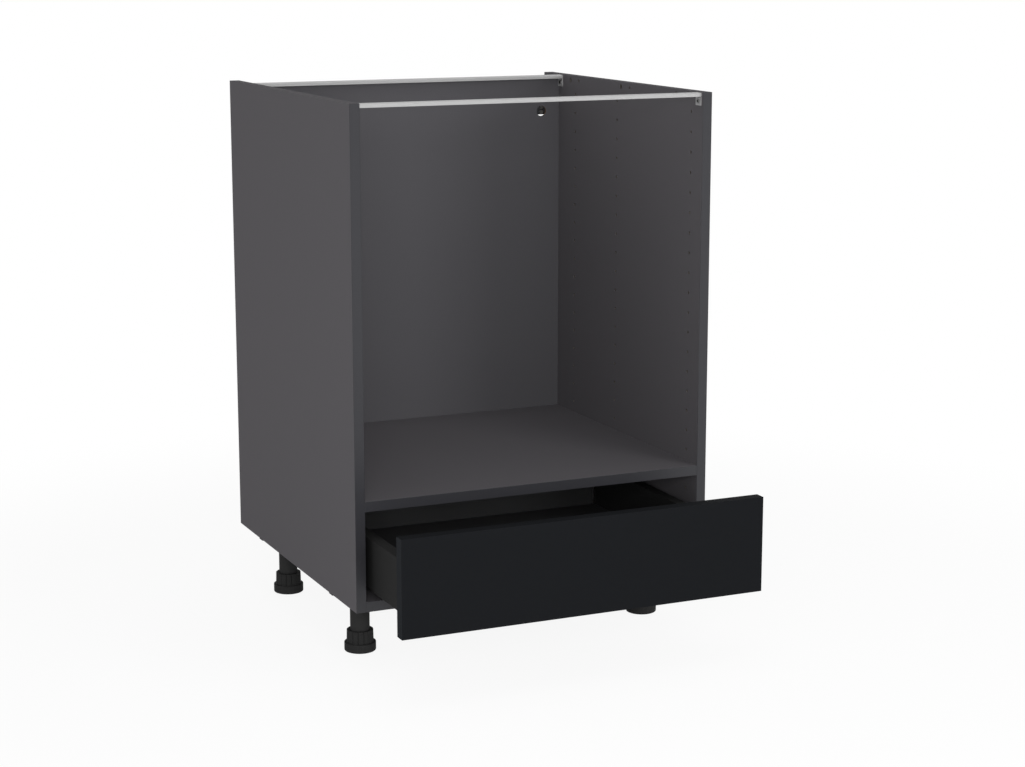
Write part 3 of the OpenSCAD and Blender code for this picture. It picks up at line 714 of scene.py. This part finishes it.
def plated_steel(name, colour, roughness):
    """Cold-rolled steel with bright zinc plating: grey metal with fine lines of the rolling."""
    material, tree, shader, place = new_material(name)
    along = add(
        tree,
        "ShaderNodeVectorMath",
        {0: place.outputs["Object"], 1: STRIP_STRETCH},
        operation="MULTIPLY",
    )
    lines = add(
        tree,
        "ShaderNodeTexNoise",
        {"Vector": along.outputs[0], "Scale": 1 / sizes().roll_line, "Detail": 3.0},
    )
    tone = add(
        tree,
        "ShaderNodeMix",
        {FACTOR: lines.outputs[0], COLOUR_A: rgba(colour, 0.88), COLOUR_B: rgba(colour, 1.08)},
        data_type="RGBA",
    )
    shine = add(
        tree,
        "ShaderNodeMapRange",
        {
            "Value": lines.outputs[0],
            "To Min": roughness - PLATING_SPREAD,
            "To Max": roughness + PLATING_SPREAD,
        },
    )
    finish_shader(
        tree,
        shader,
        {"Base Color": tone.outputs[MIXED], "Metallic": 1.0, "Roughness": shine.outputs[0]},
    )
    return material


def recessed_screws(name, colour, box):
    """Zinc-plated pan heads along X, each with a drive recess.

    The recess is too small to show its depth, so its mouth is drawn as dark as its floor looks.
    """
    material = plated_steel(name, colour, 0.4)
    tree = material.node_tree
    shader = next(node for node in tree.nodes if node.type == "BSDF_PRINCIPLED")
    low, high = box
    head_r = (high.z - low.z) / 2
    place = add(tree, "ShaderNodeTexCoord")
    away = []
    for y in (low.y + head_r, high.y - head_r):
        offset = add(
            tree,
            "ShaderNodeVectorMath",
            {0: place.outputs["Object"], 1: (0.0, y, low.z + head_r)},
            operation="SUBTRACT",
        )
        across = add(
            tree,
            "ShaderNodeVectorMath",
            {0: offset.outputs[0], 1: (0.0, 1.0, 1.0)},
            operation="MULTIPLY",
        )
        away.append(add(tree, "ShaderNodeVectorMath", {0: across.outputs[0]}, operation="LENGTH"))
    nearest = add(
        tree,
        "ShaderNodeMath",
        {0: away[0].outputs["Value"], 1: away[1].outputs["Value"]},
        operation="MINIMUM",
    )
    mouth = add(
        tree,
        "ShaderNodeMath",
        {0: nearest.outputs[0], 1: sizes().recess / 2},
        operation="LESS_THAN",
    )
    plating = shader.inputs["Base Color"].links[0].from_socket
    tone = add(
        tree,
        "ShaderNodeMix",
        {FACTOR: mouth.outputs[0], COLOUR_A: plating, COLOUR_B: rgba(colours().recess)},
        data_type="RGBA",
    )
    finish_shader(tree, shader, {"Base Color": tone.outputs[MIXED]})
    return material


def tumbled_casting(name):
    """Die-cast zinc, tumbled: dull metal with a mottled skin."""
    material, tree, shader, place = new_material(name)
    skin = add(
        tree,
        "ShaderNodeTexNoise",
        {"Vector": place.outputs["Object"], "Scale": 1 / sizes().cast_skin, "Detail": 4.0},
    )
    tone = add(
        tree,
        "ShaderNodeMix",
        {
            FACTOR: skin.outputs[0],
            COLOUR_A: rgba(colours().cast, 0.8),
            COLOUR_B: rgba(colours().cast, 1.1),
        },
        data_type="RGBA",
    )
    bump = add(
        tree, "ShaderNodeBump", {"Height": skin.outputs[0], "Strength": 0.3, "Distance": GRAIN_DEPTH}
    )
    finish_shader(
        tree,
        shader,
        {
            "Base Color": tone.outputs[MIXED],
            "Metallic": 1.0,
            "Roughness": 0.48,
            "Normal": bump.outputs[0],
        },
    )
    return material


def turned_beech(name):
    """Beech dowel, turned and grooved dry: pale pinkish wood with short dark flecks."""
    material, tree, shader, place = new_material(name)
    along = add(
        tree,
        "ShaderNodeVectorMath",
        {0: place.outputs["Object"], 1: WOOD_STRETCH},
        operation="MULTIPLY",
    )
    grain = add(
        tree,
        "ShaderNodeTexNoise",
        {"Vector": along.outputs[0], "Scale": 1 / sizes().beech_grain, "Detail": 3.0},
    )
    tone = add(
        tree,
        "ShaderNodeMix",
        {
            FACTOR: grain.outputs[0],
            COLOUR_A: rgba(colours().beech_dark),
            COLOUR_B: rgba(colours().beech_light),
        },
        data_type="RGBA",
    )
    finish_shader(
        tree,
        shader,
        {"Base Color": tone.outputs[MIXED], "Roughness": 0.7, "IOR": COATING_IOR},
    )
    return material


def moulded_plastic(name, colour, roughness, shine):
    """Injection-moulded plastic out of a spark-eroded tool: dull, with a fine even grain.

    The grain of the real tool is about 0.1 mm, and is drawn coarser so that it shows.
    """
    material, tree, shader, place = new_material(name)
    grain = add(
        tree,
        "ShaderNodeTexNoise",
        {"Vector": place.outputs["Object"], "Scale": 1 / sizes().moulded_grain, "Detail": 2.0},
    )
    tone = add(
        tree,
        "ShaderNodeMix",
        {FACTOR: grain.outputs[0], COLOUR_A: rgba(colour, 0.93), COLOUR_B: rgba(colour, 1.07)},
        data_type="RGBA",
    )
    bump = add(
        tree, "ShaderNodeBump", {"Height": grain.outputs[0], "Strength": 0.2, "Distance": MOULD_DEPTH}
    )
    finish_shader(
        tree,
        shader,
        {
            "Base Color": tone.outputs[MIXED],
            "Roughness": roughness,
            "Normal": bump.outputs[0],
            "IOR": PLASTIC_IOR,
            "Specular IOR Level": shine,
        },
    )
    return material


def dress(names, material):
    """Gives the frame's solids of those names that material."""
    for name in names:
        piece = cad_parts[name]
        if not piece.material_slots:
            raise RuntimeError(f"{name} has no material slot to dress")
        for slot in piece.material_slots:
            slot.link = "OBJECT"
            slot.material = material


def round_edges(names, width):
    """Rounds the sharp edges of those solids, as a cutter or a scraper leaves them."""
    for name in names:
        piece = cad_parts[name]
        weld = piece.modifiers.new("joined_faces", "WELD")
        weld.merge_threshold = WELD_GAP
        bevel = piece.modifiers.new("rounded_edges", "BEVEL")
        bevel.width = width
        bevel.segments = 2
        bevel.limit_method = "ANGLE"
        bevel.angle_limit = BEVEL_ANGLE
        bevel.harden_normals = True


def both(*endings):
    """The left and right names of pieces that come in pairs."""
    return [f"{side}_{ending}" for ending in endings for side in SIDES]


class CABINET_OT_boards(bpy.types.Operator):
    """Finish the two sides, the bottom and the oven shelf"""

    bl_idname = "cabinet.boards"
    bl_label = "Carcass boards"

    def execute(self, context):
        for name in (*both("side_panel"), "bottom_panel", "oven_shelf"):
            # Painted shade: the side panels' faces that look up take a darker colour
            shaded_top_colour = colours().painted_top_shade if name.endswith("side_panel") else colours().board
            material = melamine_board(f"melamine_{name}", colours().board, shaded_top_colour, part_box(name))
            dress([name], material)
            round_edges([name], sizes().board_edge)
        return {"FINISHED"}


class CABINET_OT_edge_bands(bpy.types.Operator):
    """Finish and round the bands on the front edges"""

    bl_idname = "cabinet.edge_bands"
    bl_label = "Edge bands"

    def execute(self, context):
        names = [*both("side_edge_band"), "bottom_edge_band", "shelf_edge_band"]
        dress(names, abs_edge_band("abs_edge_band"))
        round_edges(names, sizes().band_edge)
        return {"FINISHED"}


class CABINET_OT_back_panel(bpy.types.Operator):
    """Finish the back panel, face and bare side"""

    bl_idname = "cabinet.back_panel"
    bl_label = "Back panel"

    def execute(self, context):
        dress(["back_panel"], hardboard_back("lacquered_hardboard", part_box("back_panel")))
        return {"FINISHED"}


class CABINET_OT_rails(bpy.types.Operator):
    """Finish the two rails and their screws"""

    bl_idname = "cabinet.rails"
    bl_label = "Rails"

    def execute(self, context):
        dress(["front_rail", "back_rail"], galvanised_sheet("galvanised_sheet"))
        screws = recessed_screws("zinc_plated_rail_screws", colours().rail_screw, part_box("rail_screws"))
        dress(["rail_screws"], screws)
        return {"FINISHED"}


class CABINET_OT_fixings(bpy.types.Operator):
    """Finish the dowels, cams, cam bolts and screws of the carcass"""

    bl_idname = "cabinet.fixings"
    bl_label = "Carcass fixings"

    def execute(self, context):
        dress(["wooden_dowels"], turned_beech("turned_beech"))
        dress(["cam_housings"], tumbled_casting("tumbled_zinc"))
        screws = ["cam_bolts", "back_panel_screws", "leg_screws", "bracket_adjusting_screws"]
        dress(screws, plated_steel("zinc_plated_screws", colours().plated, 0.32))
        return {"FINISHED"}


class CABINET_OT_legs(bpy.types.Operator):
    """Finish the leg plates and tubes"""

    bl_idname = "cabinet.legs"
    bl_label = "Legs"

    def execute(self, context):
        plastic = moulded_plastic("moulded_polypropylene", colours().leg, 0.6, 0.02)
        for corner in CORNERS:
            dress([f"{corner}_leg_plate", f"{corner}_leg_tube"], plastic)
        return {"FINISHED"}


def quarter(centre, radius, start, steps=6):
    """Points of a quarter turn in a section, as radius and height, from a start angle in degrees."""
    turns = [math.radians(start + 90 * i / steps) for i in range(steps + 1)]
    return [(centre[0] + radius * math.cos(t), centre[1] + radius * math.sin(t)) for t in turns]


def foot_outline(low, high, bore):
    """A foot's section from the middle of its underside round to the middle of its bore.

    Each point is a radius, a height and the share of the flutes' depth cut there.
    """
    edge = sizes().foot_edge
    underside_edge = sizes().foot_underside
    base = (high.x - low.x) / 2
    ledge = low.z + sizes().foot_base
    grip_low = sizes().grip_low / 2
    grip_top = sizes().grip_top / 2
    arch = 1.2 * MM
    rim = 0.4 * MM
    bore_floor = low.z + 3.0 * MM
    underside = [(0.0, low.z + arch), (base / 2, low.z + arch), (base / 2 + arch, low.z)]
    lower_edge = quarter((base - underside_edge, low.z + underside_edge), underside_edge, -90)
    upper_edge = quarter((base - edge, ledge - edge), edge, 0)
    fillet = [(grip_low + arch / 2, ledge), (grip_low, ledge + arch / 2)]
    grip = [(grip_top, high.z - rim), (grip_top - rim, high.z)]
    hollow = [(bore + rim, high.z), (bore, high.z - rim), (bore, bore_floor), (0.0, bore_floor)]
    plain = underside + lower_edge + upper_edge + fillet[:1]
    return [(*p, 0) for p in plain] + [(*p, 1) for p in fillet[1:] + grip] + [(*p, 0) for p in hollow]


def turned_mesh(name, outline, centre):
    """A turned body round a vertical axis, with sharp flutes along its grip."""
    around = FLUTES * POINTS_PER_FLUTE
    mesh = bmesh.new()
    rings = []
    for radius, height, share in outline:
        ring = []
        for i in range(around if radius > 0 else 1):
            angle = FIRST_FLUTE + 2 * math.pi * i / around
            off_flute = abs((i * FLUTES / around + 0.5) % 1.0 - 0.5)
            across = off_flute * 2 * math.pi / FLUTES * radius
            cut = max(0.0, 1 - 2 * across / sizes().flute_width)
            r = radius - sizes().flute_depth * share * cut
            x = centre[0] + r * math.cos(angle)
            y = centre[1] + r * math.sin(angle)
            ring.append(mesh.verts.new((x, y, height)))
        rings.append(ring)
    for lower, upper in zip(rings, rings[1:]):
        for i in range(around):
            j = (i + 1) % around
            below = [lower[k % len(lower)] for k in (i, j)]
            above = [upper[k % len(upper)] for k in (j, i)]
            mesh.faces.new(list(dict.fromkeys(below + above)))
    bmesh.ops.recalc_face_normals(mesh, faces=mesh.faces)
    data = bpy.data.meshes.new(name)
    mesh.to_mesh(data)
    mesh.free()
    data.polygons.foreach_set("use_smooth", [True] * len(data.polygons))
    data.set_sharp_from_angle(angle=SHARP_ANGLE)
    piece = bpy.data.objects.new(name, data)
    bpy.context.scene.collection.objects.link(piece)
    return piece


class CABINET_OT_feet(bpy.types.Operator):
    """Model the four feet with their fluted grips and soft edges"""

    bl_idname = "cabinet.feet"
    bl_label = "Feet"

    def execute(self, context):
        plastic = moulded_plastic("moulded_polypropylene_feet", colours().foot, 0.6, 0.02)
        for corner in CORNERS:
            low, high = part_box(f"{corner}_foot")
            tube_low, tube_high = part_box(f"{corner}_leg_tube")
            bore = (tube_high.x - tube_low.x) / 2 + sizes().foot_clearance
            outline = foot_outline(low, high, bore)
            piece = turned_mesh(f"{corner}_moulded_foot", outline, (low + high) / 2)
            piece.data.materials.append(plastic)
            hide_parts(f"{corner}_foot")
            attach(piece, f"{corner}_adjuster")
        return {"FINISHED"}


class CABINET_OT_wall_brackets(bpy.types.Operator):
    """Finish the wall brackets and their hooks"""

    bl_idname = "cabinet.wall_brackets"
    bl_label = "Wall brackets"

    def execute(self, context):
        dress(both("wall_bracket"), moulded_plastic("moulded_nylon", colours().bracket, 0.45, 0.4))
        dress(both("wall_hook"), plated_steel("zinc_plated_hook", colours().plated, 0.34))
        return {"FINISHED"}


class CABINET_OT_drawer_front(bpy.types.Operator):
    """Finish and round the drawer front and its bumpers"""

    bl_idname = "cabinet.drawer_front"
    bl_label = "Drawer front"

    def execute(self, context):
        dress(["drawer_front"], matt_lacquer("matt_black_lacquer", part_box("drawer_front")))
        round_edges(["drawer_front"], sizes().front_edge)
        dress(["drawer_bumpers"], moulded_plastic("soft_elastomer", colours().bumper, 0.7, 0.3))
        return {"FINISHED"}


class CABINET_OT_drawer_box(bpy.types.Operator):
    """Finish the drawer's sides, back, floor, brackets and screws"""

    bl_idname = "cabinet.drawer_box"
    bl_label = "Drawer box"

    def execute(self, context):
        dress(SIDE_STEEL, powder_coated_steel("powder_coated_sides", colours().drawer_steel))
        # Painted light: the back takes a paler copy of the sides' powder coat, for light deep in the
        # drawer
        dress(["drawer_back"], powder_coated_steel("painted_light_powder_coat_back", colours().drawer_back))
        colour = colours().drawer_floor
        floor = melamine_board("melamine_drawer_floor", colour, colour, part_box("drawer_floor"))
        dress(["drawer_floor"], floor)
        dress(both("front_bracket"), tumbled_casting("tumbled_zinc_bracket"))
        dress(both("back_bracket"), plated_steel("zinc_plated_bracket", colours().plated, 0.34))
        dress(["drawer_screws"], plated_steel("zinc_plated_drawer_screws", colours().plated, 0.32))
        return {"FINISHED"}


class CABINET_OT_runners(bpy.types.Operator):
    """Finish the runners, their ball cages and screws"""

    bl_idname = "cabinet.runners"
    bl_label = "Runners"

    def execute(self, context):
        members = both("cabinet_member", "middle_member", "drawer_member")
        dress(members, plated_steel("zinc_plated_strip", colours().plated, 0.36))
        cages = both("outer_ball_cage", "inner_ball_cage")
        dress(cages, plated_steel("polished_steel", colours().plated, 0.22))
        dress(["runner_screws"], plated_steel("zinc_plated_runner_screws", colours().plated, 0.32))
        return {"FINISHED"}


class CABINET_OT_stage(bpy.types.Operator):
    """Build the pale floor, the lamps, the surround and the camera"""

    bl_idname = "cabinet.stage"
    bl_label = "Studio"

    def execute(self, context):
        make_floor()
        make_surround()
        make_lamps()
        make_camera()
        context.scene.view_settings.view_transform = "Standard"
        return {"FINISHED"}


def shown_rays(tree):
    """1 for rays that show the background: to the camera, in a reflection or through glass."""
    path = add(tree, "ShaderNodeLightPath")
    seen = add(
        tree,
        "ShaderNodeMath",
        {0: path.outputs["Is Camera Ray"], 1: path.outputs["Is Glossy Ray"]},
        operation="MAXIMUM",
    )
    return add(
        tree,
        "ShaderNodeMath",
        {0: seen.outputs[0], 1: path.outputs["Is Transmission Ray"]},
        operation="MAXIMUM",
    ).outputs[0]


def make_floor():
    """A wide pale floor that shows white, with part of the object's shadow."""
    half = studio().floor_size / 2
    data = bpy.data.meshes.new("floor")
    corners = [(x * half, y * half, -FLOOR_GAP) for x, y in ((-1, -1), (1, -1), (1, 1), (-1, 1))]
    data.from_pydata(corners, [], [(0, 1, 2, 3)])
    floor = bpy.data.objects.new("floor", data)
    bpy.context.scene.collection.objects.link(floor)
    material = bpy.data.materials.new("pale_floor")
    material.use_nodes = True
    tree = material.node_tree
    tree.nodes.clear()
    paint = add(tree, "ShaderNodeBsdfDiffuse", {"Color": rgba(studio().floor)})
    white = add(tree, "ShaderNodeEmission", {"Color": (1.0, 1.0, 1.0, 1.0), "Strength": 1.0})
    place = add(tree, "ShaderNodeTexCoord")
    distance = add(tree, "ShaderNodeVectorMath", {0: place.outputs["Object"]}, operation="LENGTH")
    covered = add(
        tree,
        "ShaderNodeMapRange",
        {
            "Value": distance.outputs["Value"],
            "From Min": studio().shadow_reach / 2,
            "From Max": studio().shadow_reach,
            "To Min": 1.0 - studio().shadow,
            "To Max": 1.0,
        },
        interpolation_type="SMOOTHSTEP",
    )
    share = add(
        tree, "ShaderNodeMath", {0: shown_rays(tree), 1: covered.outputs[0]}, operation="MULTIPLY"
    )
    mix = add(
        tree, "ShaderNodeMixShader", {0: share.outputs[0], 1: paint.outputs[0], 2: white.outputs[0]}
    )
    add(tree, "ShaderNodeOutputMaterial", {"Surface": mix.outputs[0]})
    data.materials.append(material)


def make_surround():
    """A surround that shows white. Its light is ambient from the sides and weaker from above."""
    world = bpy.data.worlds.new("white_surround")
    bpy.context.scene.world = world
    world.use_nodes = True
    tree = world.node_tree
    tree.nodes.clear()
    place = add(tree, "ShaderNodeTexCoord")
    direction = add(tree, "ShaderNodeSeparateXYZ", {0: place.outputs["Generated"]})
    lighting = add(
        tree,
        "ShaderNodeMapRange",
        {
            "Value": direction.outputs["Z"],
            "From Min": CEILING_STARTS,
            "From Max": CEILING_FULL,
            "To Min": studio().ambient,
            "To Max": studio().ceiling,
        },
        interpolation_type="SMOOTHSTEP",
    )
    level = add(
        tree,
        "ShaderNodeMix",
        {FACTOR: shown_rays(tree), NUMBER_A: lighting.outputs[0], NUMBER_B: 1.0},
        data_type="FLOAT",
    )
    light = add(
        tree, "ShaderNodeBackground", {"Color": (1.0, 1.0, 1.0, 1.0), "Strength": level.outputs[0]}
    )
    add(tree, "ShaderNodeOutputWorld", {"Surface": light.outputs[0]})


def soft_lamp(name, place, width, radiance):
    """A large square lamp that faces the object. Its power follows from its radiance and area."""
    lamp = bpy.data.lights.new(name, "AREA")
    lamp.shape = "SQUARE"
    lamp.size = width
    lamp.energy = radiance * width * width * math.pi
    piece = bpy.data.objects.new(name, lamp)
    bpy.context.scene.collection.objects.link(piece)
    piece.location = place
    away = Vector(place) - Vector(OBJECT_MIDDLE)
    piece.rotation_mode = "QUATERNION"
    piece.rotation_quaternion = away.to_track_quat("Z", "Y")
    piece.visible_camera = False
    piece.visible_glossy = False


def make_lamps():
    """Two large lamps in front of the cabinet and one above it."""
    soft_lamp("key_lamp", place=(-1.45, -3.3, 1.13), width=1.0, radiance=studio().key)
    soft_lamp("fill_lamp", place=(1.6, -3.2, 1.1), width=1.2, radiance=studio().fill)
    soft_lamp("top_lamp", place=(0.0, -0.6, 3.4), width=2.4, radiance=studio().top)


def make_camera():
    """The camera at the photograph's place, looking down a little from the left."""
    data = bpy.data.cameras.new("camera")
    data.lens = studio().lens
    data.sensor_width = SENSOR_WIDTH
    camera = bpy.data.objects.new("camera", data)
    bpy.context.scene.collection.objects.link(camera)
    camera.location = studio().camera_place
    camera.rotation_euler = (math.pi / 2 - studio().camera_pitch, 0.0, -studio().camera_yaw)
    bpy.context.scene.camera = camera


OPERATORS = (
    CABINET_OT_stage,
    CABINET_OT_boards,
    CABINET_OT_edge_bands,
    CABINET_OT_back_panel,
    CABINET_OT_rails,
    CABINET_OT_fixings,
    CABINET_OT_legs,
    CABINET_OT_feet,
    CABINET_OT_wall_brackets,
    CABINET_OT_drawer_front,
    CABINET_OT_drawer_box,
    CABINET_OT_runners,
)


class CABINET_PT_panel(bpy.types.Panel):
    """Lists the cabinet's pieces in the sidebar"""

    bl_idname = "CABINET_PT_panel"
    bl_label = "Oven base cabinet"
    bl_space_type = "VIEW_3D"
    bl_region_type = "UI"
    bl_category = "Cabinet"

    def draw(self, context):
        for operator in OPERATORS:
            self.layout.operator(operator.bl_idname)
        for group in (colours(), sizes(), studio()):
            box = self.layout.box()
            for name in group.__annotations__:
                box.prop(group, name)


GROUPS = {
    "cabinet_colours": CabinetColours,
    "cabinet_sizes": CabinetSizes,
    "cabinet_studio": CabinetStudio,
}


def register():
    for name, group in GROUPS.items():
        bpy.utils.register_class(group)
        setattr(bpy.types.Scene, name, bpy.props.PointerProperty(type=group))
    for kind in (*OPERATORS, CABINET_PT_panel):
        bpy.utils.register_class(kind)


def unregister():
    for kind in reversed((*OPERATORS, CABINET_PT_panel)):
        bpy.utils.unregister_class(kind)
    for name, group in GROUPS.items():
        delattr(bpy.types.Scene, name)
        bpy.utils.unregister_class(group)


def main():
    """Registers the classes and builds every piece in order."""
    register()
    for operator in OPERATORS:
        group, action = operator.bl_idname.split(".")
        getattr(getattr(bpy.ops, group), action)()


if __name__ == "__main__":
    main()
